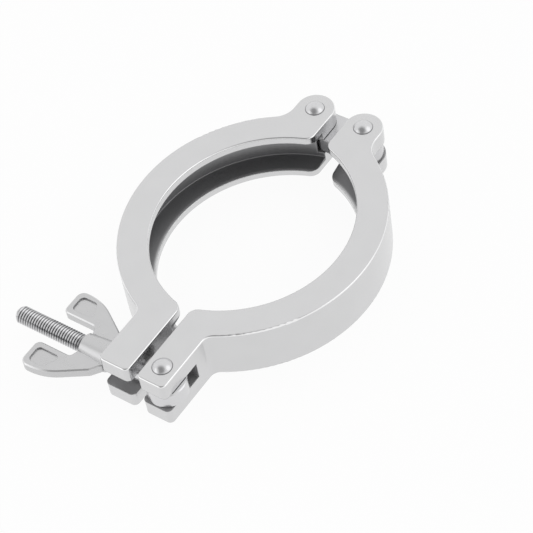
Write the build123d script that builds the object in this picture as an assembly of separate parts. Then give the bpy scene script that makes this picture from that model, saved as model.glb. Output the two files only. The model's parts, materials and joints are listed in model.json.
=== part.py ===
"""KF50 swing clamp: two hinged half rings with a V groove, closed by a swing bolt and a wing nut.

Origin on the bore axis at mid height. +Z runs up the bore axis, +Y points at the hinge link, and the
bolt runs along -X from its pivot in the bolt jaw, through the slot of the other jaw. Millimetres.
"""
from build123d import *
from math import radians, tan
import os

# Jaws
height = 15.4            # jaw height, top face to underside
flange_d = 75.0          # outer diameter of the flanges that the groove holds
flange_clear = 0.6       # radial clearance round the flange
wall = 3.4               # outer band outside the groove floor
lip_depth = 5.1          # radial depth of the groove
lip_edge = 2.2           # thickness of each lip at its inner edge
groove_angle = 15.0      # slope of each groove flank
closed_shift = 6.4       # how far each half ring's centre passes the bore axis when closed empty
edge_round = 0.5         # rounding of the cast edges

# Hinge
hinge_x = 7.85           # half the distance between the hinge rivets
hinge_stand = 3.42       # hinge axis beyond the band
lug_r = 5.5
link_t = 4.8             # link thickness
link_r = 5.0             # link end radius
slide_clear = 0.2        # clearance on each side of a flat piece in its slot
turn_clear = 0.8         # clearance between a turning end and the slot floor
rivet_r = 2.0
rivet_head_r = 2.8
head_h = 1.5             # height of a rivet's domed head
run_clear = 0.05         # radial clearance of a turning fit
fixed_clear = 0.01       # radial clearance of a rivet in its own jaw

# Arms
arm_split_x = 1.5        # middle of the gap between the arms
arm_gap = 2.7
slotted_arm_w = 9.3
bolt_arm_w = 8.6
pivot_stand = 11.47      # bolt pivot beyond the band
arm_tail = 5.7           # arm beyond the bolt pivot
arm_corner = 1.5
arm_root = 3.0           # rounding where the arm leaves the band
lug_root = 6.0           # rounding where the lug leaves the band
nose_round = 3.0         # rounding of the half ring's inner ends

# Swing bolt and wing nut
bolt_d = 5.0
bolt_reach = 48.4        # pivot to tip
bolt_slot_clear = 0.35   # between the bolt and each side of the open slot
bolt_slot_end_clear = 1.0  # between the bolt and the slot's closed end
eye_r = 5.5
eye_t = 4.9
eye_slot_depth = 7.5     # pivot to the fork's closed end
bolt_rivet_r = 2.4
bolt_rivet_head_r = 3.25
tip_chamfer = 0.7
nut_gap = 1.3            # hub to the slotted arm with the nut as stored
hub_l = 10.0
hub_base_r = 4.2
hub_end_r = 3.4
wing_span = 13.4         # axis to wing tip
wing_t = 3.0
wing_rise = 10.0         # how far the wings pass the hub's outer face
wing_tip_l = 7.0         # length of a wing's outer edge
wing_tip_w = 8.0         # width of a wing's end edge
wing_root_v = 6.5        # where the wing's base meets the hub side
wing_corner = 1.8
pocket_depth = 0.5
pocket_rim = 1.5


def on_circle_y(x, centre_x, radius):
    """Distance from the x axis of a circle at x."""
    return (radius ** 2 - (x - centre_x) ** 2) ** 0.5


# Worked out
half_h = height / 2
floor_r = flange_d / 2 + flange_clear
band_r = floor_r + wall
lip_r = floor_r - lip_depth
lip_z = half_h - lip_edge
floor_z = lip_z - lip_depth * tan(radians(groove_angle))
link_slot = link_t + 2 * slide_clear
eye_slot = eye_t + 2 * slide_clear
slotted_arm_in = arm_split_x - arm_gap / 2
slotted_arm_out = slotted_arm_in - slotted_arm_w
bolt_arm_in = arm_split_x + arm_gap / 2
bolt_arm_out = bolt_arm_in + bolt_arm_w
pivot_x = (bolt_arm_in + bolt_arm_out) / 2
hinge_y = on_circle_y(hinge_x, -closed_shift, band_r) + hinge_stand
pivot_y = -on_circle_y(pivot_x, -closed_shift, band_r) - pivot_stand
arm_end_y = pivot_y - arm_tail
nut_face_x = slotted_arm_out - nut_gap
reach = 2 * band_r       # larger than any part of a jaw
nudge = 1.0              # overrun of a cut past the face it opens


def block(x0, x1, y0, y1, z0, z1):
    """A box between two corners, in any order along x."""
    size = Box(abs(x1 - x0), y1 - y0, z1 - z0)
    return Pos((x0 + x1) / 2, (y0 + y1) / 2, (z0 + z1) / 2) * size


def area(x0, x1, y0, y1):
    """A flat rectangle between two corners, in any order along x."""
    return Pos((x0 + x1) / 2, (y0 + y1) / 2) * Rectangle(abs(x1 - x0), y1 - y0)


def jaw_outline(side, arm_in, arm_out):
    """Plan of a half ring with its hinge lug and its arm; side is -1 on the left and 1 on the right."""
    centre_x = -side * closed_shift
    lug_in = side * (hinge_x - lug_r)
    lug_out = side * (hinge_x + lug_r)
    ring = Pos(centre_x, 0) * (Circle(band_r) - Circle(lip_r))
    half = area(lug_in, side * reach, 0, reach) + area(arm_in, side * reach, -reach, 0)
    mid_r = (band_r + lip_r) / 2
    lug_foot = on_circle_y(side * hinge_x, centre_x, mid_r)
    arm_top = -on_circle_y((arm_in + arm_out) / 2, centre_x, mid_r)
    lug = area(lug_in, lug_out, lug_foot, hinge_y) + Pos(side * hinge_x, hinge_y) * Circle(lug_r)
    arm = area(arm_in, arm_out, arm_end_y, arm_top)
    outline = (ring & half) + lug + arm
    corners = [
        (lug_out, on_circle_y(lug_out, centre_x, band_r), lug_root),
        (lug_in, on_circle_y(lug_in, centre_x, lip_r), nose_round),
        (arm_in, -on_circle_y(arm_in, centre_x, lip_r), nose_round),
        (arm_out, -on_circle_y(arm_out, centre_x, band_r), arm_root),
        (arm_in, arm_end_y, arm_corner),
        (arm_out, arm_end_y, arm_corner),
    ]
    for x, y, radius in corners:
        corner = outline.vertices().sort_by_distance((x, y, 0))[0]
        outline = fillet(corner, radius)
    return outline


def groove(side):
    """The V groove that draws the two flanges together, turned about the half ring's own axis."""
    deep = floor_r - lip_depth - nudge
    flare = floor_z + (floor_r - deep) * tan(radians(groove_angle))
    section = Plane.XZ * Polygon(
        (deep, -flare), (floor_r, -floor_z), (floor_r, floor_z), (deep, flare), align=None
    )
    return Pos(-side * closed_shift, 0, 0) * revolve(section, Axis.Z, 360)


def jaw(side, arm_in, arm_out):
    """A jaw with its groove, hinge slot and hinge hole, before its arm is slotted."""
    body = extrude(jaw_outline(side, arm_in, arm_out), half_h, both=True)
    rims = body.edges().filter_by(lambda e: abs(abs(e.center().Z) - half_h) < edge_round / 10)
    body = fillet(rims, edge_round)
    slot_y = hinge_y - link_r - turn_clear
    body -= groove(side)
    body -= block(0, side * reach, slot_y, reach, -link_slot / 2, link_slot / 2)
    body -= Pos(side * hinge_x, hinge_y, 0) * Cylinder(rivet_r + fixed_clear, height + nudge)
    return body


def slotted_jaw():
    """The jaw that the bolt swings into: its slot is open at the arm's end."""
    slot_w = bolt_d + 2 * bolt_slot_clear
    body = jaw(-1, slotted_arm_in, slotted_arm_out)
    slot_end_y = pivot_y + bolt_d / 2 + bolt_slot_end_clear
    body -= block(slotted_arm_out - nudge, slotted_arm_in + nudge, arm_end_y - nudge, slot_end_y,
                  -slot_w / 2, slot_w / 2)
    return body


def bolt_jaw():
    """The jaw whose forked arm holds the eye of the bolt."""
    body = jaw(1, bolt_arm_in, bolt_arm_out)
    body -= block(bolt_arm_in - nudge, bolt_arm_out + nudge, arm_end_y - nudge,
                  pivot_y + eye_slot_depth, -eye_slot / 2, eye_slot / 2)
    return body - Pos(pivot_x, pivot_y, 0) * Cylinder(bolt_rivet_r + fixed_clear, height + nudge)


def hinge_link():
    """Flat plate with round ends that joins the two jaws."""
    plan = SlotCenterToCenter(2 * hinge_x, 2 * link_r)
    for side in (-1, 1):
        plan -= Pos(side * hinge_x, 0) * Circle(rivet_r + run_clear)
    return Pos(0, hinge_y, 0) * extrude(plan, link_t / 2, both=True)


def rivet(x, y, shank_r, head_r):
    """Rivet with a domed head on the top face and a tail flush with the underside."""
    dome_r = (head_r ** 2 + head_h ** 2) / (2 * head_h)
    dome = Pos(0, 0, half_h + head_h - dome_r) * Sphere(dome_r)
    dome &= Pos(0, 0, half_h + head_h / 2) * Cylinder(head_r + nudge, head_h)
    return Pos(x, y, 0) * (Cylinder(shank_r, height) + dome)


def swing_bolt():
    """Eye bolt: a flat round eye and a shank that carries the thread."""
    shank = Pos(-bolt_reach / 2, 0, 0) * Rot(0, 90, 0) * Cylinder(bolt_d / 2, bolt_reach)
    tip = shank.edges().sort_by(Axis.X)[0]
    shank = chamfer(tip, tip_chamfer)
    body = shank + Cylinder(eye_r, eye_t)
    body -= Cylinder(bolt_rivet_r + run_clear, height)
    return Pos(pivot_x, pivot_y, 0) * body


def wing(side):
    """One wing with a shallow pocket in both of its flat faces."""
    end_x = -hub_l - wing_rise
    plan = Polygon(
        (0, 0), (0, side * hub_base_r), (-hub_l / 4, side * wing_root_v),
        (end_x + wing_tip_l, side * wing_span), (end_x, side * wing_span),
        (end_x, side * (wing_span - wing_tip_w)), (-hub_l, 0), align=None
    )
    far = [v for v in plan.vertices() if abs(v.Y) > wing_span - wing_tip_w - nudge and v.X < -hub_l]
    plan = fillet(far, wing_corner)
    outer = plan & area(end_x, -hub_l / 2, *sorted((side * wing_root_v, side * wing_span)))
    pocket = offset(outer, -pocket_rim)
    body = extrude(plan, wing_t / 2, both=True)
    for z in (wing_t / 2, -wing_t / 2):
        body -= Pos(0, 0, z) * extrude(pocket, pocket_depth, both=True)
    return body


def wing_nut():
    """Tapered hub with two flat wings that lean towards the bolt's tip."""
    hub = Rot(0, -90, 0) * Pos(0, 0, hub_l / 2) * Cone(hub_base_r, hub_end_r, hub_l)
    body = hub + wing(1) + wing(-1)
    bore_l = 2 * (hub_l + wing_rise) + 2 * nudge
    body -= Rot(0, 90, 0) * Cylinder(bolt_d / 2 + run_clear, bore_l)
    return Pos(nut_face_x, pivot_y, 0) * body


parts = {
    "slotted_jaw": slotted_jaw(),
    "bolt_jaw": bolt_jaw(),
    "hinge_link": hinge_link(),
    "hinge_rivet_left": rivet(-hinge_x, hinge_y, rivet_r, rivet_head_r),
    "hinge_rivet_right": rivet(hinge_x, hinge_y, rivet_r, rivet_head_r),
    "bolt_rivet": rivet(pivot_x, pivot_y, bolt_rivet_r, bolt_rivet_head_r),
    "swing_bolt": swing_bolt(),
    "wing_nut": wing_nut(),
}

os.makedirs("parts", exist_ok=True)
for name, solid in parts.items():
    export_step(solid, f"parts/{name}.step")
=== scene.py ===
import json
import math

import bmesh
import bpy
from bpy.props import FloatProperty, FloatVectorProperty, PointerProperty
from mathutils import Matrix, Vector

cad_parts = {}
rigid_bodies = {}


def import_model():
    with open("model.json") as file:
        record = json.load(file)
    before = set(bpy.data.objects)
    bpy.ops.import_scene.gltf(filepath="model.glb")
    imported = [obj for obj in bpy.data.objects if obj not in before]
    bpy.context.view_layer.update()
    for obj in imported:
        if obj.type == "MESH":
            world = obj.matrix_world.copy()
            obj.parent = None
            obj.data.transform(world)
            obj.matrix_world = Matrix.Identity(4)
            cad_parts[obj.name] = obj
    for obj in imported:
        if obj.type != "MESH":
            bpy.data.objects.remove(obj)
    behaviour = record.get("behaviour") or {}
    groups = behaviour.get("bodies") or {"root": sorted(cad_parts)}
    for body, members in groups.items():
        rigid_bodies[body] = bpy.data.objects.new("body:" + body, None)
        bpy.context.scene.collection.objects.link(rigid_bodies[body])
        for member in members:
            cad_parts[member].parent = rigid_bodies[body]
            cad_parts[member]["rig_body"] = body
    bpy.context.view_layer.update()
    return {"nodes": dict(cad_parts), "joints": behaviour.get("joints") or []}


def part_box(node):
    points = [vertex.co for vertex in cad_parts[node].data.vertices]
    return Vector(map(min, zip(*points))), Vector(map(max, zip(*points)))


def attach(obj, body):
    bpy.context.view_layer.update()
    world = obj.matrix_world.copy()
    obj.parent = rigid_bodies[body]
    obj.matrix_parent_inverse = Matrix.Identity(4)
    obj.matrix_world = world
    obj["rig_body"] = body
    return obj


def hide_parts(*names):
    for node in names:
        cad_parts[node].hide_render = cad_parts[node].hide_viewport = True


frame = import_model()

bl_info = {
    "name": "Flange Clamp",
    "version": (1, 0, 0),
    "blender": (4, 5, 0),
    "location": "View3D > Sidebar > Clamp",
    "description": "Finishes, threaded swing bolt and studio for a hinged flange clamp",
    "category": "Object",
}

MM = 0.001
JAWS = {"slotted_jaw": 1.0, "bolt_jaw": -1.0}      # sign of the half ring's centre along x
RIVETS = ("hinge_rivet_left", "hinge_rivet_right", "bolt_rivet")

# Surface patterns: scale per metre and detail, then what they do
MOTTLE = (180.0, 3.0)
GRAIN = (3500.0, 2.0)
MARKS = (420.0, 4.0)
MOTTLE_SHADES = (0.97, 1.03)
MARKS_SHADES = (0.95, 1.04)
GRAIN_BUMP = 0.06
MARKS_BUMP = 0.03
BUMP_DEPTH = 0.02 * MM
BEVEL_SAMPLES = 8

# What each feature adds to the roughness, or takes from it as polish
MOTTLE_ROUGHNESS = 0.08
MARKS_ROUGHNESS = 0.06
GROOVE_ROUGHNESS = 0.15
SLOT_ROUGHNESS = 0.35
RIM_POLISH = 0.08

# Lean of a surface, as the size of its normal's z, over which a rim starts and ends
RIM_STARTS = (0.1, 0.35)
RIM_ENDS = (0.72, 0.86)

# Spans over which a mask fades, measured from the limit that bounds it
GROOVE_FLOOR_FADE = (-0.1 * MM, 0.3 * MM)
GROOVE_LIP_FADE = (-0.3 * MM, 0.0)
SLOT_END_FADE = (0.02 * MM, 0.1 * MM)
SLOT_SIDE_FADE = (0.02 * MM, 0.08 * MM)
RIVET_HOLE_FADE = (0.1 * MM, 0.2 * MM)
FOOT_FULL = 0.3                     # share of the painted shade at a dome's foot that is at full strength
NUT_RIM_SHARE = 0.5                 # how far the nut's rims go towards the painted rim highlight

# Corners of a wing, as a share of the hub's base radius
WING_FOOT_OUT = 0.95

# as shares of the hub's length
WING_SHOULDER = 0.25
WING_FOOT_END = 0.95
WING_INNER_START = 1.08
POCKET_START = 1.25

# and as shares of the wing's reach
WING_WIDEST = 0.63
POCKET_WIDEST = 0.67

# Sides and steps of round shapes
ARC_STEPS = 8
DOME_STEPS = 14
ROUND_SIDES = 64
SHANK_SIDES = 48
SPIRAL_STEPS = 36
RIDGE_SIDES = 4
SHARP_ANGLE = math.radians(30.0)

FLOOR_SIZE = 6.0
FLOOR_DROP = 0.05 * MM              # keeps the floor off the underside
FLOOR_COLOR = (0.9, 0.9, 0.9)
SENSOR_WIDTH = 36.0                 # in the camera's own millimetres


# Shader and node helpers

class Value:
    """A shader socket on which arithmetic adds Math nodes."""

    def __init__(self, finish, socket):
        self.finish = finish
        self.socket = socket

    def maths(self, operation, *others):
        values = {0: self}
        values.update(enumerate(others, start=1))
        return self.finish.node("ShaderNodeMath", {"operation": operation}, values)

    def __add__(self, other):
        return self.maths("ADD", other)

    def __sub__(self, other):
        return self.maths("SUBTRACT", other)

    def __mul__(self, other):
        return self.maths("MULTIPLY", other)

    def __pow__(self, other):
        return self.maths("POWER", other)

    def __rsub__(self, other):
        return self.finish.node("ShaderNodeMath", {"operation": "SUBTRACT"}, {0: other, 1: self})

    __radd__ = __add__

    def size(self):
        return self.maths("ABSOLUTE")

    def root(self):
        return self.maths("SQRT")

    def step(self, low, high):
        """0 below low and 1 above high, with a smooth change between them."""
        values = {"Value": self, "From Min": low, "From Max": high}
        return self.finish.node("ShaderNodeMapRange", {"interpolation_type": "SMOOTHSTEP"}, values)

    def within(self, limit, fade):
        """1 below a limit, changing to 0 over a span that is measured up from it."""
        return 1 - self.step(limit + fade[0], limit + fade[1])

    def beyond(self, limit, fade):
        """1 above a limit, changing to 0 over a span that is measured down from it."""
        return self.step(limit - fade[1], limit - fade[0])


class Finish:
    """A node material under construction."""

    def __init__(self, name):
        self.material = bpy.data.materials.new(name)
        self.material.use_nodes = True
        self.tree = self.material.node_tree
        self.tree.nodes.clear()
        self.output = self.tree.nodes.new("ShaderNodeOutputMaterial")

    def put(self, socket, value):
        if isinstance(value, Value):
            self.tree.links.new(value.socket, socket)
        else:
            socket.default_value = value

    def node(self, kind, settings=None, inputs=None, output=0):
        made = self.tree.nodes.new(kind)
        for name, setting in (settings or {}).items():
            setattr(made, name, setting)
        for key, value in (inputs or {}).items():
            self.put(made.inputs[key], value)
        return Value(self, made.outputs[output])

    def place(self):
        return self.node("ShaderNodeTexCoord", output="Object")

    def axes(self, place):
        split = self.node("ShaderNodeSeparateXYZ", inputs={0: place})
        return [Value(self, socket) for socket in split.socket.node.outputs]

    def noise(self, place, scale, detail):
        return self.node("ShaderNodeTexNoise", inputs={"Vector": place, "Scale": scale, "Detail": detail})

    def blend(self, factor, first, second):
        inputs = {0: factor, 6: first, 7: second}
        return self.node("ShaderNodeMix", {"data_type": "RGBA"}, inputs, output=2)

    def metal(self, color, roughness, normal):
        inputs = {"Base Color": color, "Metallic": 1.0, "Roughness": roughness, "Normal": normal}
        shader = self.node("ShaderNodeBsdfPrincipled", inputs=inputs)
        self.tree.links.new(shader.socket, self.output.inputs["Surface"])
        return self.material

    def varied(self, pattern, color, shades):
        """A colour that a pattern varies between a darker and a lighter shade."""
        dark, light = shades
        return self.blend(pattern, rgba(color, dark), rgba(color, light))

    def handled(self, place, roughness):
        """Light handling marks, and the roughness as they vary it."""
        marks = self.noise(place, *MARKS)
        return marks, roughness + (marks - 0.5) * MARKS_ROUGHNESS

    def rounded(self, height, strength, edge=0.0):
        """A fine surface grain, over softened edges where an edge size is given."""
        inputs = {"Strength": strength, "Distance": BUMP_DEPTH, "Height": height}
        if edge:
            inputs["Normal"] = self.node("ShaderNodeBevel", {"samples": BEVEL_SAMPLES}, {"Radius": edge})
        return self.node("ShaderNodeBump", inputs=inputs)

    def rims(self):
        """1 on surfaces that lean between flat and upright, as the rounded rims of a flat piece do."""
        lean = self.axes(self.node("ShaderNodeTexCoord", output="Normal"))[2].size()
        return lean.step(*RIM_STARTS) * (1 - lean.step(*RIM_ENDS))


def rgba(color, factor=1.0):
    return tuple(channel * factor for channel in color) + (1.0,)


def give(obj, material):
    obj.data.materials.clear()
    obj.data.materials.append(material)


def joint(name):
    return next(item for item in frame["joints"] if item["name"] == name)


# Materials

def jaw_finish(name, side, arm_slot, look):
    """Satin metal with painted highlights on the rims and painted shade inside the V groove and the slots,
    which are also rougher.
    """
    slot_y, slot_half = arm_slot
    finish = Finish(name)
    place = finish.place()
    x, y, z = finish.axes(place)
    height = z.size()
    radius = ((x - side * look.centre_shift) ** 2 + y ** 2).root()
    inside = radius.within(look.groove_radius, GROOVE_FLOOR_FADE)
    groove = inside * height.within(look.groove_half, GROOVE_LIP_FADE)
    in_arm = y.within(slot_y, SLOT_END_FADE) * height.within(slot_half, SLOT_SIDE_FADE)
    in_lug = y.beyond(look.link_slot_y, SLOT_END_FADE) * height.within(look.link_slot_half, SLOT_SIDE_FADE)
    slots = in_arm + in_lug
    rims = finish.rims() * (1 - groove)
    mottle = finish.noise(place, *MOTTLE)
    grain = finish.noise(place, *GRAIN)
    face = finish.varied(mottle, look.jaw_color, MOTTLE_SHADES)
    # Painted highlight: the rounded rims are lightened towards the rim highlight colour.
    color = finish.blend(rims, face, rgba(look.rim_color))
    # Painted shade: the V groove is darkened where its recess lies in shade.
    color = finish.blend(groove, color, rgba(look.groove_shade_color))
    # Painted shade: the inside of the slots is darkened.
    color = finish.blend(slots, color, rgba(look.slot_shade_color))
    roughness = look.jaw_roughness + (mottle - 0.5) * MOTTLE_ROUGHNESS + groove * GROOVE_ROUGHNESS
    roughness = roughness - rims * RIM_POLISH + slots * SLOT_ROUGHNESS
    return finish.metal(color, roughness, finish.rounded(grain, GRAIN_BUMP, look.edge))


def link_finish(look):
    """Polished metal with very light handling marks."""
    finish = Finish("polished_link")
    marks, roughness = finish.handled(finish.place(), look.link_roughness)
    color = finish.varied(marks, look.link_color, MARKS_SHADES)
    return finish.metal(color, roughness, finish.rounded(marks, MARKS_BUMP, look.edge))


def rivet_finish(look):
    """Polished domes with painted shade where they meet the metal round them."""
    finish = Finish("domed_rivet")
    place = finish.place()
    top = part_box("bolt_jaw")[1].z
    z = finish.axes(place)[2]
    foot_fade = (look.foot_height * FOOT_FULL, look.foot_height)
    # Painted shade: a dark band at the dome's foot, where contact shade falls.
    foot = z.beyond(top, RIVET_HOLE_FADE) * z.within(top, foot_fade)
    marks, roughness = finish.handled(place, look.rivet_roughness)
    color = finish.varied(marks, look.rivet_color, MARKS_SHADES)
    color = finish.blend(foot, color, rgba(look.foot_shade_color))
    return finish.metal(color, roughness, finish.rounded(marks, MARKS_BUMP))


def nut_finish(look, nut):
    """Satin metal with a painted highlight on the wings' rims, clear of the round hub."""
    hub_fade = 0.4 * MM
    finish = Finish("cast_wing_nut")
    place = finish.place()
    off_axis = (finish.axes(place)[1] - joint("bolt_swing")["pos_m"][1]).size()
    rims = finish.rims() * off_axis.step(nut.hub_base, nut.hub_base + hub_fade)
    marks, roughness = finish.handled(place, look.nut_roughness)
    color = finish.varied(marks, look.nut_color, MARKS_SHADES)
    # Painted highlight on the rims of the wings.
    color = finish.blend(rims * NUT_RIM_SHARE, color, rgba(look.rim_color))
    return finish.metal(color, roughness, finish.rounded(marks, MARKS_BUMP, look.nut_edge))


def bolt_finish(look, bolt):
    """Bright steel with painted shade in the valleys of the thread."""
    low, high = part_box("swing_bolt")
    crest = (high.z - low.z) / 2
    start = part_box("wing_nut")[1].x
    valley_from, valley_to = crest - bolt.thread_depth + 0.06 * MM, crest - 0.1 * MM
    tip_from, tip_to = low.x + 0.5 * MM, low.x + 0.9 * MM
    finish = Finish("bright_bolt")
    place = finish.place()
    x, y, z = finish.axes(place)
    radius = ((y - joint("bolt_swing")["pos_m"][1]) ** 2 + z ** 2).root()
    threaded = x.step(tip_from, tip_to) * (1 - x.step(start, start + 0.1 * MM))
    valley = (1 - radius.step(valley_from, valley_to)) * threaded
    marks, roughness = finish.handled(place, look.bolt_roughness)
    # Painted shade in the valleys of the thread.
    color = finish.blend(valley, rgba(look.bolt_color), rgba(look.valley_shade_color))
    return finish.metal(color, roughness, finish.rounded(marks, MARKS_BUMP))


# Geometry

def lathe(mesh, profile, place, steps):
    """Joined rings that turn (along, radius) points about the local z axis; the ends are left open."""
    rings = []
    for along, radius in profile:
        ring = []
        for step in range(steps):
            turn = 2 * math.pi * step / steps
            spot = Vector((radius * math.cos(turn), radius * math.sin(turn), along))
            ring.append(mesh.verts.new(place @ spot))
        rings.append(ring)
    for lower, upper in zip(rings, rings[1:]):
        for step in range(steps):
            after = (step + 1) % steps
            mesh.faces.new((lower[step], lower[after], upper[after], upper[step]))
    return rings


def close_ends(mesh, rings):
    """A flat face across the first ring and one across the last."""
    mesh.faces.new(list(reversed(rings[0])))
    mesh.faces.new(rings[-1])


def close_loop(mesh, rings):
    """Joins the last ring back to the first, round a piece with a bore."""
    first, last = rings[0], rings[-1]
    for step in range(len(first)):
        after = (step + 1) % len(first)
        mesh.faces.new((last[step], last[after], first[after], first[step]))


def rounded_outline(corners):
    """Points of a closed outline; each corner is (along, out, radius) and is turned with an arc."""
    points = []
    for index, (x, y, radius) in enumerate(corners):
        spot = Vector((x, y))
        before = (Vector(corners[index - 1][:2]) - spot).normalized()
        after = (Vector(corners[(index + 1) % len(corners)][:2]) - spot).normalized()
        half = before.angle(after) / 2
        if radius == 0.0:
            points.append(spot)
            continue
        middle = spot + (before + after).normalized() * (radius / math.sin(half))
        first = spot + before * (radius / math.tan(half)) - middle
        last = spot + after * (radius / math.tan(half)) - middle
        turn = first.angle_signed(last)
        for step in range(ARC_STEPS + 1):
            points.append(middle + Matrix.Rotation(-turn * step / ARC_STEPS, 2) @ first)
    return points


def loop_at(mesh, points, height, place):
    return [mesh.verts.new(place @ Vector((p.x, p.y, height))) for p in points]


def wall(mesh, lower, upper):
    for index in range(len(lower)):
        after = (index + 1) % len(lower)
        mesh.faces.new((lower[index], lower[after], upper[after], upper[index]))


def fill(mesh, *loops):
    """Flat face inside the first loop, open inside any further ones."""
    edges = []
    for loop in loops:
        for index, vert in enumerate(loop):
            pair = (vert, loop[(index + 1) % len(loop)])
            edges.append(mesh.edges.get(pair) or mesh.edges.new(pair))
    bmesh.ops.triangle_fill(mesh, edges=edges, use_beauty=True)


def shrunk(points, by):
    """The outline moved inwards by a small distance."""
    moved = []
    for index, point in enumerate(points):
        along = (points[(index + 1) % len(points)] - points[index - 1]).normalized()
        moved.append(point + Vector((along.y, -along.x)) * by)
    return moved


def wing_mesh(mesh, nut, side, place):
    """One wing: a flat lobe with a soft rim and a shallow pocket in each face."""
    length, tip, end, inner = nut.hub_length, nut.wing_span, nut.wing_end, nut.wing_inner
    foot = nut.bore + 0.4 * MM                  # inside the hub's wall, clear of the bolt
    corners = [
        (0.0, foot, 0.0),
        (0.0, nut.hub_base * WING_FOOT_OUT, 0.0),
        (length * WING_SHOULDER, nut.wing_base, 2 * MM),
        (end * WING_WIDEST, tip, 16 * MM),
        (end, tip, 2.2 * MM),
        (end, inner, 1.6 * MM),
        (length * WING_INNER_START, inner, 1.2 * MM),
        (length * WING_FOOT_END, foot, 0.0),
    ]
    rim = nut.pocket_rim
    pocket = [
        (end - rim, inner + rim, 1.2 * MM),
        (length * POCKET_START, inner + rim, 1.0 * MM),
        (end * POCKET_WIDEST, tip - rim, 1.2 * MM),
        (end - rim, tip - rim, 1.4 * MM),
    ]
    outline = rounded_outline(corners)
    hollow = list(reversed(rounded_outline(pocket)))
    half = nut.wing_thickness / 2
    soft = 0.35 * MM
    pocket_wall = 0.45 * MM                     # how far a pocket's sides slope in
    mirror = place @ Matrix.Diagonal((1.0, side, 1.0, 1.0))
    edges = {}
    for face in (-1, 1):
        edges[face] = loop_at(mesh, outline, face * (half - soft), mirror)
        flat = loop_at(mesh, shrunk(outline, soft), face * half, mirror)
        lip = loop_at(mesh, hollow, face * half, mirror)
        floor = loop_at(mesh, shrunk(hollow, pocket_wall), face * (half - nut.pocket_depth), mirror)
        wall(mesh, edges[face], flat)
        wall(mesh, lip, floor)
        fill(mesh, flat, lip)
        fill(mesh, floor)
    wall(mesh, edges[-1], edges[1])


def nut_mesh(nut):
    """Hub and two wings, set against the CAD node's box."""
    seat = Matrix.Translation((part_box("wing_nut")[1].x, joint("bolt_swing")["pos_m"][1], 0.0))
    mesh = bmesh.new()
    for side in (-1, 1):
        wing_mesh(mesh, nut, side, seat @ Matrix.Rotation(math.pi, 4, "Z"))
    along = seat @ Matrix.Rotation(-math.pi / 2, 4, "Y")
    soft = 0.4 * MM
    hub = [(0.0, nut.hub_base - soft), (soft, nut.hub_base), (nut.hub_length - soft, nut.hub_end),
           (nut.hub_length, nut.hub_end - soft), (nut.hub_length, nut.bore), (0.0, nut.bore)]
    close_loop(mesh, lathe(mesh, hub, along, ROUND_SIDES))
    bmesh.ops.recalc_face_normals(mesh, faces=mesh.faces)
    made = bpy.data.meshes.new("lobed_wing_nut")
    mesh.to_mesh(made)
    mesh.free()
    return made


def rivet_mesh(node, shank_r, head_r):
    """Rivet with a true dome, as high as the CAD node."""
    low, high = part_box(node)
    middle = (low + high) / 2
    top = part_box("bolt_jaw")[1].z
    rise = high.z - top
    dome_r = (head_r ** 2 + rise ** 2) / (2 * rise)
    arc = math.asin(head_r / dome_r)
    profile = [(low.z, shank_r), (top, shank_r), (top, head_r)]
    for step in range(1, DOME_STEPS):
        turn = arc * (1 - step / DOME_STEPS)
        profile.append((high.z - dome_r * (1 - math.cos(turn)), dome_r * math.sin(turn)))
    mesh = bmesh.new()
    close_ends(mesh, lathe(mesh, profile, Matrix.Translation((middle.x, middle.y, 0.0)), SHANK_SIDES))
    bmesh.ops.recalc_face_normals(mesh, faces=mesh.faces)
    made = bpy.data.meshes.new(node + "_dome")
    mesh.to_mesh(made)
    mesh.free()
    return made


def stand_for(node, mesh, material):
    """Shows a finished mesh in place of a CAD node, on that node's body."""
    piece = bpy.data.objects.new(mesh.name, mesh)
    bpy.context.scene.collection.objects.link(piece)
    give(piece, material)
    mesh.shade_smooth()
    mesh.set_sharp_from_angle(angle=SHARP_ANGLE)
    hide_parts(node)
    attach(piece, frame["nodes"][node]["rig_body"])


def thread_tree():
    """A ridge wound round the x axis, from named sizes."""
    tree = bpy.data.node_groups.new("wound_thread", "GeometryNodeTree")
    for name in ("Length", "Pitch", "Radius", "Ridge"):
        tree.interface.new_socket(name=name, in_out="INPUT", socket_type="NodeSocketFloat")
    tree.interface.new_socket(name="Metal", in_out="INPUT", socket_type="NodeSocketMaterial")
    tree.interface.new_socket(name="Geometry", in_out="OUTPUT", socket_type="NodeSocketGeometry")
    new, link = tree.nodes.new, tree.links.new
    given = new("NodeGroupInput").outputs
    turns = new("ShaderNodeMath")
    turns.operation = "DIVIDE"
    link(given["Length"], turns.inputs[0])
    link(given["Pitch"], turns.inputs[1])
    spiral = new("GeometryNodeCurveSpiral")
    spiral.inputs["Resolution"].default_value = SPIRAL_STEPS
    link(turns.outputs[0], spiral.inputs["Rotations"])
    link(given["Radius"], spiral.inputs["Start Radius"])
    link(given["Radius"], spiral.inputs["End Radius"])
    link(given["Length"], spiral.inputs["Height"])
    upright = new("GeometryNodeSetCurveNormal")
    upright.mode = "Z_UP"
    link(spiral.outputs[0], upright.inputs["Curve"])
    ridge = new("GeometryNodeCurvePrimitiveCircle")
    ridge.inputs["Resolution"].default_value = RIDGE_SIDES
    link(given["Ridge"], ridge.inputs["Radius"])
    wound = new("GeometryNodeCurveToMesh")
    wound.inputs["Fill Caps"].default_value = True
    link(upright.outputs[0], wound.inputs["Curve"])
    link(ridge.outputs["Curve"], wound.inputs["Profile Curve"])
    laid = new("GeometryNodeTransform")
    laid.inputs["Rotation"].default_value = (0.0, -math.pi / 2, 0.0)
    link(wound.outputs[0], laid.inputs["Geometry"])
    real = new("GeometryNodeRealizeInstances")
    link(laid.outputs[0], real.inputs[0])
    metal = new("GeometryNodeSetMaterial")
    link(real.outputs[0], metal.inputs["Geometry"])
    link(given["Metal"], metal.inputs["Material"])
    link(metal.outputs[0], new("NodeGroupOutput").inputs[0])
    return tree


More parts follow.
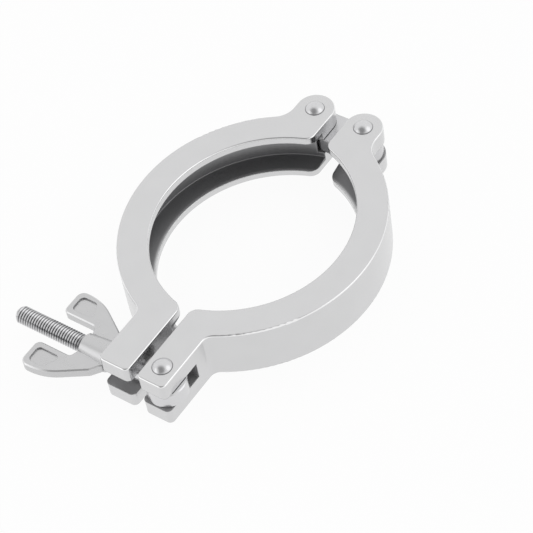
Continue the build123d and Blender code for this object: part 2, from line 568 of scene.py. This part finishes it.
def wound_thread(start, sizes, metal):
    """Plain mesh of the thread ridge, from start towards -x."""
    carrier = bpy.data.objects.new("thread_carrier", bpy.data.meshes.new("thread_carrier"))
    bpy.context.scene.collection.objects.link(carrier)
    tree = thread_tree()
    modifier = carrier.modifiers.new("thread", "NODES")
    modifier.node_group = tree
    inputs = {s.name: s.identifier for s in tree.interface.items_tree if s.in_out == "INPUT"}
    for name, size in sizes.items():
        modifier[inputs[name]] = size
    modifier[inputs["Metal"]] = metal
    evaluated = carrier.evaluated_get(bpy.context.evaluated_depsgraph_get())
    mesh = bpy.data.meshes.new_from_object(evaluated)
    mesh.transform(Matrix.Translation(start))
    bpy.data.objects.remove(carrier)
    return mesh


def bolt_mesh(bolt, metal):
    """Eye, plain shank and thread of the swing bolt, as long and as thick as the CAD node."""
    plain_inset = 0.05 * MM                     # keeps the plain shank inside the CAD one
    ridge_inset = 0.02 * MM                     # and the thread's crests
    thread_end = 0.8 * MM                       # from the thread's last turn to the tip
    chamfer = 0.5 * MM
    low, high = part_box("swing_bolt")
    pivot = Vector(joint("bolt_swing")["pos_m"])
    shank_r = (high.z - low.z) / 2
    eye_r = high.x - pivot.x
    thread_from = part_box("wing_nut")[1].x
    root_r = shank_r - bolt.thread_depth
    mesh = bmesh.new()
    rim = bolt.eye_round
    half = bolt.eye_thickness / 2
    eye = [(-half, eye_r - rim), (-half + rim, eye_r), (half - rim, eye_r), (half, eye_r - rim)]
    bore = [(half, bolt.eye_bore), (-half, bolt.eye_bore)]
    close_loop(mesh, lathe(mesh, eye + bore, Matrix.Translation(pivot), ROUND_SIDES))
    along = Matrix.Translation(pivot) @ Matrix.Rotation(-math.pi / 2, 4, "Y")
    inner = bolt.eye_bore + (eye_r - bolt.eye_bore) / 2
    plain = pivot.x - thread_from
    reach = pivot.x - low.x
    plain_r = shank_r - plain_inset
    shank = [(inner, plain_r), (plain, plain_r), (plain + chamfer, root_r),
             (reach - chamfer, root_r), (reach, root_r - chamfer)]
    close_ends(mesh, lathe(mesh, shank, along, SHANK_SIDES))
    bmesh.ops.recalc_face_normals(mesh, faces=mesh.faces)
    sizes = {
        "Length": thread_from - low.x - thread_end,
        "Pitch": bolt.pitch,
        "Radius": root_r,
        "Ridge": bolt.thread_depth - ridge_inset,
    }
    thread = wound_thread(Vector((thread_from, pivot.y, pivot.z)), sizes, metal)
    mesh.from_mesh(thread)
    made = bpy.data.meshes.new("threaded_swing_bolt")
    mesh.to_mesh(made)
    mesh.free()
    bpy.data.meshes.remove(thread)
    return made


# Settings

class ClampFinishSettings(bpy.types.PropertyGroup):
    """Colours and gloss of the metal, and where each kind of it lies."""

    jaw_color: FloatVectorProperty(
        name="Jaw colour", description="Satin metal of both half rings", subtype="COLOR",
        default=(0.65, 0.65, 0.655), min=0.0, max=1.0)
    # Painted shade inside the V groove's recess.
    groove_shade_color: FloatVectorProperty(
        name="Groove colour", description="Duller metal inside the V groove", subtype="COLOR",
        default=(0.26, 0.26, 0.265), min=0.0, max=1.0)
    # Painted shade inside the slots.
    slot_shade_color: FloatVectorProperty(
        name="Slot colour", description="Unfinished metal inside the slots", subtype="COLOR",
        default=(0.46, 0.46, 0.465), min=0.0, max=1.0)
    # Painted highlight laid on the rounded rims of the half rings and wings.
    rim_color: FloatVectorProperty(
        name="Rim colour", description="Burnished rims of the half rings and wings", subtype="COLOR",
        default=(0.86, 0.86, 0.865), min=0.0, max=1.0)
    # Painted shade in the valleys of the thread.
    valley_shade_color: FloatVectorProperty(
        name="Valley colour", description="Metal in the valleys of the thread", subtype="COLOR",
        default=(0.16, 0.16, 0.165), min=0.0, max=1.0)
    link_color: FloatVectorProperty(
        name="Link colour", description="Polished hinge link", subtype="COLOR",
        default=(0.60, 0.60, 0.61), min=0.0, max=1.0)
    rivet_color: FloatVectorProperty(
        name="Rivet colour", description="Domed rivet heads", subtype="COLOR",
        default=(0.66, 0.66, 0.67), min=0.0, max=1.0)
    nut_color: FloatVectorProperty(
        name="Wing nut colour", description="Satin cast wing nut", subtype="COLOR",
        default=(0.58, 0.58, 0.585), min=0.0, max=1.0)
    bolt_color: FloatVectorProperty(
        name="Bolt colour", description="Bright steel of the swing bolt", subtype="COLOR",
        default=(0.66, 0.66, 0.67), min=0.0, max=1.0)
    link_roughness: FloatProperty(
        name="Link roughness", description="Roughness of the hinge link", default=0.2, min=0.0, max=1.0)
    jaw_roughness: FloatProperty(
        name="Jaw roughness", description="Roughness of the satin faces", default=0.24, min=0.0, max=1.0)
    nut_roughness: FloatProperty(
        name="Nut roughness", description="Roughness of the wing nut", default=0.28, min=0.0, max=1.0)
    bolt_roughness: FloatProperty(
        name="Bolt roughness", description="Roughness of the swing bolt", default=0.22, min=0.0, max=1.0)
    hinge_rivet_shank: FloatProperty(
        name="Hinge rivet shank", description="Radius of the hinge rivets", default=2 * MM, unit="LENGTH")
    bolt_rivet_shank: FloatProperty(
        name="Bolt rivet shank", description="Radius of the bolt rivet", default=2.4 * MM, unit="LENGTH")
    edge: FloatProperty(
        name="Edge softness", description="Apparent rounding of sharp edges",
        default=0.35 * MM, unit="LENGTH")
    nut_edge: FloatProperty(
        name="Nut edge softness", description="Apparent rounding of the wing nut's edges",
        default=0.08 * MM, unit="LENGTH")
    rivet_head: FloatProperty(
        name="Rivet head", description="Radius of the domed heads", default=2.75 * MM, unit="LENGTH")
    rivet_roughness: FloatProperty(
        name="Rivet roughness", description="Roughness of the domes", default=0.26, min=0.0, max=1.0)
    # Height of the painted shade band at a dome's foot.
    foot_height: FloatProperty(
        name="Foot height", description="Height of the dull line round a dome",
        default=0.3 * MM, unit="LENGTH")
    # Painted shade where a dome meets the plate.
    foot_shade_color: FloatVectorProperty(
        name="Foot colour", description="Dull line round a dome", subtype="COLOR",
        default=(0.14, 0.14, 0.145), min=0.0, max=1.0)
    open_slot_y: FloatProperty(
        name="Open slot end", description="Closed end of the slot that the bolt swings into",
        default=-47.2 * MM, unit="LENGTH")
    open_slot_half: FloatProperty(
        name="Open slot half height", description="Half the height of the slot that the bolt swings into",
        default=2.85 * MM, unit="LENGTH")
    fork_y: FloatProperty(
        name="Fork end", description="Closed end of the fork that holds the bolt's eye",
        default=-43.2 * MM, unit="LENGTH")
    fork_half: FloatProperty(
        name="Fork half height", description="Half the height of the fork's opening",
        default=2.65 * MM, unit="LENGTH")
    link_slot_half: FloatProperty(
        name="Link slot half height", description="Half the height of the hinge slots",
        default=2.6 * MM, unit="LENGTH")
    link_slot_y: FloatProperty(
        name="Link slot floor", description="Floor of the hinge slots", default=36.6 * MM, unit="LENGTH")
    centre_shift: FloatProperty(
        name="Centre shift", description="How far each half ring's centre passes the bore axis",
        default=6.4 * MM, unit="LENGTH")
    groove_radius: FloatProperty(
        name="Groove radius", description="Radius of the groove floor", default=38.1 * MM, unit="LENGTH")
    groove_half: FloatProperty(
        name="Groove half height", description="Half the groove's height at the lips",
        default=5.5 * MM, unit="LENGTH")


class ClampBoltSettings(bpy.types.PropertyGroup):
    """Sizes of the bolt's eye and thread."""

    pitch: FloatProperty(
        name="Pitch", description="Thread pitch", default=0.8 * MM, unit="LENGTH")
    thread_depth: FloatProperty(
        name="Thread depth", description="Crest to root", default=0.45 * MM, unit="LENGTH")
    eye_thickness: FloatProperty(
        name="Eye thickness", description="Thickness of the flat eye", default=4.9 * MM, unit="LENGTH")
    eye_bore: FloatProperty(
        name="Eye bore", description="Radius of the hole for the rivet", default=2.45 * MM, unit="LENGTH")
    eye_round: FloatProperty(
        name="Eye edge", description="Bevel on the rim of the eye", default=0.3 * MM, unit="LENGTH")


class ClampNutSettings(bpy.types.PropertyGroup):
    """Sizes of the wing nut."""

    hub_length: FloatProperty(
        name="Hub length", description="Hub along the bolt", default=8.8 * MM, unit="LENGTH")
    hub_base: FloatProperty(
        name="Hub base", description="Hub radius at the arm", default=4.2 * MM, unit="LENGTH")
    hub_end: FloatProperty(
        name="Hub end", description="Hub radius at its outer face", default=3.4 * MM, unit="LENGTH")
    bore: FloatProperty(
        name="Bore", description="Radius of the bore on the bolt", default=2.55 * MM, unit="LENGTH")
    wing_span: FloatProperty(
        name="Wing span", description="Axis to wing tip", default=13.4 * MM, unit="LENGTH")
    wing_end: FloatProperty(
        name="Wing reach", description="Hub base to the wing's end edge", default=20 * MM, unit="LENGTH")
    wing_inner: FloatProperty(
        name="Wing inner edge", description="Axis to the wing's inner edge",
        default=5.4 * MM, unit="LENGTH")
    wing_base: FloatProperty(
        name="Wing base", description="Axis to the wing's shoulder", default=6.8 * MM, unit="LENGTH")
    wing_thickness: FloatProperty(
        name="Wing thickness", description="Thickness of a wing", default=3 * MM, unit="LENGTH")
    pocket_rim: FloatProperty(
        name="Pocket rim", description="Width of metal round a pocket", default=1.6 * MM, unit="LENGTH")
    pocket_depth: FloatProperty(
        name="Pocket depth", description="Depth of a wing's pocket", default=0.5 * MM, unit="LENGTH")


class ClampStudioSettings(bpy.types.PropertyGroup):
    """Camera and light."""

    azimuth: FloatProperty(
        name="Azimuth", description="Turn of the camera from looking along +Y",
        default=math.radians(42.1), unit="ROTATION")
    elevation: FloatProperty(
        name="Elevation", description="Height angle of the camera",
        default=math.radians(49.4), unit="ROTATION")
    roll: FloatProperty(
        name="Roll", description="Tilt of the camera about its line of sight",
        default=math.radians(10.6), unit="ROTATION")
    distance: FloatProperty(
        name="Distance", description="Camera to aim point", default=530 * MM, unit="LENGTH")
    lens: FloatProperty(
        name="Lens", description="Focal length in millimetres on a 36 mm sensor", default=134.4)
    aim: FloatVectorProperty(
        name="Aim", description="Point at the middle of the view", subtype="TRANSLATION",
        default=(4.9 * MM, -3.2 * MM, -4.9 * MM))
    sky: FloatProperty(
        name="Sky", description="Level of the white sky, away from its cap", default=1.0, min=0.0)
    lamp_power: FloatProperty(
        name="Lamp power", description="Power of each soft lamp in watts", default=0.42, min=0.0)
    lamp_size: FloatProperty(
        name="Lamp size", description="Diameter of each soft lamp", default=620 * MM, unit="LENGTH")
    lamp_distance: FloatProperty(
        name="Lamp distance", description="Lamp to the clamp", default=800 * MM, unit="LENGTH")
    right_lamp: FloatVectorProperty(
        name="Right lamp", description="Direction of the lamp that lights the edges facing +X",
        subtype="XYZ", default=(0.70, 0.35, 0.62))
    left_lamp: FloatVectorProperty(
        name="Left lamp", description="Direction of the lamp that lights the edges facing -Y",
        subtype="XYZ", default=(-0.45, -0.75, 0.45))
    cap: FloatVectorProperty(
        name="Cap", description="Direction of the middle of the sky's darker cap",
        subtype="XYZ", default=(0.07, -0.57, 0.82))
    cap_edge: FloatProperty(
        name="Cap edge", description="Angle from the cap's middle to where the sky is white again",
        default=math.radians(50.0), unit="ROTATION")
    cap_full: FloatProperty(
        name="Cap full", description="Angle from the cap's middle within which it is darkest",
        default=math.radians(17.0), unit="ROTATION")
    cap_level: FloatProperty(
        name="Cap level", description="Brightness of the sky's cap", default=0.32, min=0.0)
    shadow: FloatProperty(
        name="Shadow share", description="How much of the floor's own shading shows",
        default=0.06, min=0.0, max=1.0)


# Operators

class CLAMP_OT_jaws(bpy.types.Operator):
    """Finish the two grooved half rings"""

    bl_idname = "clamp.jaws"
    bl_label = "Finish jaws"

    def execute(self, context):
        look = context.scene.clamp_finish
        slots = {
            "slotted_jaw": (look.open_slot_y, look.open_slot_half),
            "bolt_jaw": (look.fork_y, look.fork_half),
        }
        for node, side in JAWS.items():
            give(frame["nodes"][node], jaw_finish(node + "_satin", side, slots[node], look))
        return {"FINISHED"}


class CLAMP_OT_hinge(bpy.types.Operator):
    """Finish the hinge link and the three rivets"""

    bl_idname = "clamp.hinge"
    bl_label = "Finish hinge"

    def execute(self, context):
        look = context.scene.clamp_finish
        give(frame["nodes"]["hinge_link"], link_finish(look))
        rivet_metal = rivet_finish(look)
        for node in RIVETS:
            shank_r = look.bolt_rivet_shank if node == "bolt_rivet" else look.hinge_rivet_shank
            stand_for(node, rivet_mesh(node, shank_r, look.rivet_head), rivet_metal)
        return {"FINISHED"}


class CLAMP_OT_wing_nut(bpy.types.Operator):
    """Build the wing nut with its lobed wings"""

    bl_idname = "clamp.wing_nut"
    bl_label = "Build wing nut"

    def execute(self, context):
        nut = context.scene.clamp_nut
        stand_for("wing_nut", nut_mesh(nut), nut_finish(context.scene.clamp_finish, nut))
        return {"FINISHED"}


class CLAMP_OT_swing_bolt(bpy.types.Operator):
    """Build the swing bolt with its wound thread"""

    bl_idname = "clamp.swing_bolt"
    bl_label = "Build swing bolt"

    def execute(self, context):
        bolt = context.scene.clamp_bolt
        metal = bolt_finish(context.scene.clamp_finish, bolt)
        stand_for("swing_bolt", bolt_mesh(bolt, metal), metal)
        return {"FINISHED"}


class CLAMP_OT_studio(bpy.types.Operator):
    """Build the floor, the light and the camera"""

    bl_idname = "clamp.studio"
    bl_label = "Build studio"

    def execute(self, context):
        studio = context.scene.clamp_studio
        build_floor(studio)
        build_light(studio)
        build_camera(studio)
        context.scene.view_settings.view_transform = "Standard"
        return {"FINISHED"}


# Studio

def build_floor(studio):
    """Pale floor just under the clamp, white apart from a share of its shading, and clear from below."""
    bpy.ops.mesh.primitive_plane_add(size=FLOOR_SIZE, location=(0.0, 0.0, 0.0))
    floor = bpy.context.object
    floor.name = "studio_floor"
    floor.data.transform(Matrix.Translation((0.0, 0.0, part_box("slotted_jaw")[0].z - FLOOR_DROP)))
    finish = Finish("pale_floor")
    path = finish.node("ShaderNodeLightPath")
    outputs = path.socket.node.outputs
    seen = Value(finish, outputs["Is Camera Ray"]).maths("MAXIMUM", Value(finish, outputs["Is Glossy Ray"]))
    own = finish.node("ShaderNodeBsdfDiffuse", inputs={"Color": rgba(FLOOR_COLOR)})
    white = finish.node("ShaderNodeEmission", inputs={"Strength": 1.0})
    mixed = finish.node("ShaderNodeMixShader", inputs={0: seen * (1 - studio.shadow), 1: own, 2: white})
    below = finish.node("ShaderNodeNewGeometry", output="Backfacing")
    clear = finish.node("ShaderNodeBsdfTransparent")
    whole = finish.node("ShaderNodeMixShader", inputs={0: below, 1: mixed, 2: clear})
    finish.tree.links.new(whole.socket, finish.output.inputs["Surface"])
    give(floor, finish.material)


def aimed(direction, distance):
    """Placement along a direction from the clamp, facing back to it."""
    spot = Vector(direction).normalized() * distance
    return Matrix.Translation(spot) @ (-spot).to_track_quat("-Z", "Y").to_matrix().to_4x4()


def build_light(studio):
    """A white sky with a darker cap high on its -Y side, the same for every ray, and two soft lamps."""
    world = bpy.data.worlds.new("studio_world")
    bpy.context.scene.world = world
    world.use_nodes = True
    nodes, links = world.node_tree.nodes, world.node_tree.links
    outward = nodes.new("ShaderNodeTexCoord")
    facing = nodes.new("ShaderNodeVectorMath")
    facing.operation = "DOT_PRODUCT"
    facing.inputs[1].default_value = Vector(studio.cap).normalized()
    links.new(outward.outputs["Generated"], facing.inputs[0])
    level = nodes.new("ShaderNodeMapRange")
    level.interpolation_type = "SMOOTHSTEP"
    level.inputs["From Min"].default_value = math.cos(studio.cap_edge)
    level.inputs["From Max"].default_value = math.cos(studio.cap_full)
    level.inputs["To Min"].default_value = studio.sky
    level.inputs["To Max"].default_value = studio.cap_level
    links.new(facing.outputs["Value"], level.inputs["Value"])
    sky = nodes["Background"]
    links.new(level.outputs[0], sky.inputs["Color"])
    sky.inputs["Strength"].default_value = 1.0
    for name, direction in (("right_lamp", studio.right_lamp), ("left_lamp", studio.left_lamp)):
        lamp = bpy.data.lights.new(name, "AREA")
        lamp.shape = "DISK"
        lamp.energy = studio.lamp_power
        lamp.size = studio.lamp_size
        holder = bpy.data.objects.new(name, lamp)
        holder.matrix_world = aimed(direction, studio.lamp_distance)
        bpy.context.scene.collection.objects.link(holder)


def build_camera(studio):
    """Long-lens camera, aimed by its azimuth, elevation and roll."""
    level = math.cos(studio.elevation)
    forward = Vector((-math.sin(studio.azimuth) * level, math.cos(studio.azimuth) * level,
                      -math.sin(studio.elevation)))
    across = forward.cross(Vector((0.0, 0.0, 1.0))).normalized()
    right = math.cos(studio.roll) * across + math.sin(studio.roll) * forward.cross(across)
    up = right.cross(forward)
    data = bpy.data.cameras.new("studio_camera")
    data.sensor_width = SENSOR_WIDTH
    data.lens = studio.lens
    data.clip_start = 10 * MM
    camera = bpy.data.objects.new("studio_camera", data)
    turn = Matrix((right, up, -forward)).transposed().to_4x4()
    camera.matrix_world = Matrix.Translation(Vector(studio.aim) - forward * studio.distance) @ turn
    bpy.context.scene.collection.objects.link(camera)
    bpy.context.scene.camera = camera


class CLAMP_PT_panel(bpy.types.Panel):
    """The clamp's pieces, in the order that they are made"""

    bl_idname = "CLAMP_PT_panel"
    bl_label = "Flange Clamp"
    bl_space_type = "VIEW_3D"
    bl_region_type = "UI"
    bl_category = "Clamp"

    def draw(self, context):
        for operator in OPERATORS:
            self.layout.operator(operator.bl_idname)


SETTINGS = {
    "clamp_finish": ClampFinishSettings,
    "clamp_bolt": ClampBoltSettings,
    "clamp_nut": ClampNutSettings,
    "clamp_studio": ClampStudioSettings,
}
OPERATORS = (CLAMP_OT_jaws, CLAMP_OT_hinge, CLAMP_OT_wing_nut, CLAMP_OT_swing_bolt, CLAMP_OT_studio)


def register():
    for item in (*SETTINGS.values(), *OPERATORS, CLAMP_PT_panel):
        bpy.utils.register_class(item)
    for name, group in SETTINGS.items():
        setattr(bpy.types.Scene, name, PointerProperty(type=group))


def unregister():
    for name in SETTINGS:
        delattr(bpy.types.Scene, name)
    for item in reversed((*SETTINGS.values(), *OPERATORS, CLAMP_PT_panel)):
        bpy.utils.unregister_class(item)


def plain(box):
    return [[float(number) for number in corner] for corner in box]


def main():
    register()
    bpy.ops.clamp.jaws()
    bpy.ops.clamp.hinge()
    bpy.ops.clamp.wing_nut()
    bpy.ops.clamp.swing_bolt()
    bpy.ops.clamp.studio()


if __name__ == "__main__":
    main()
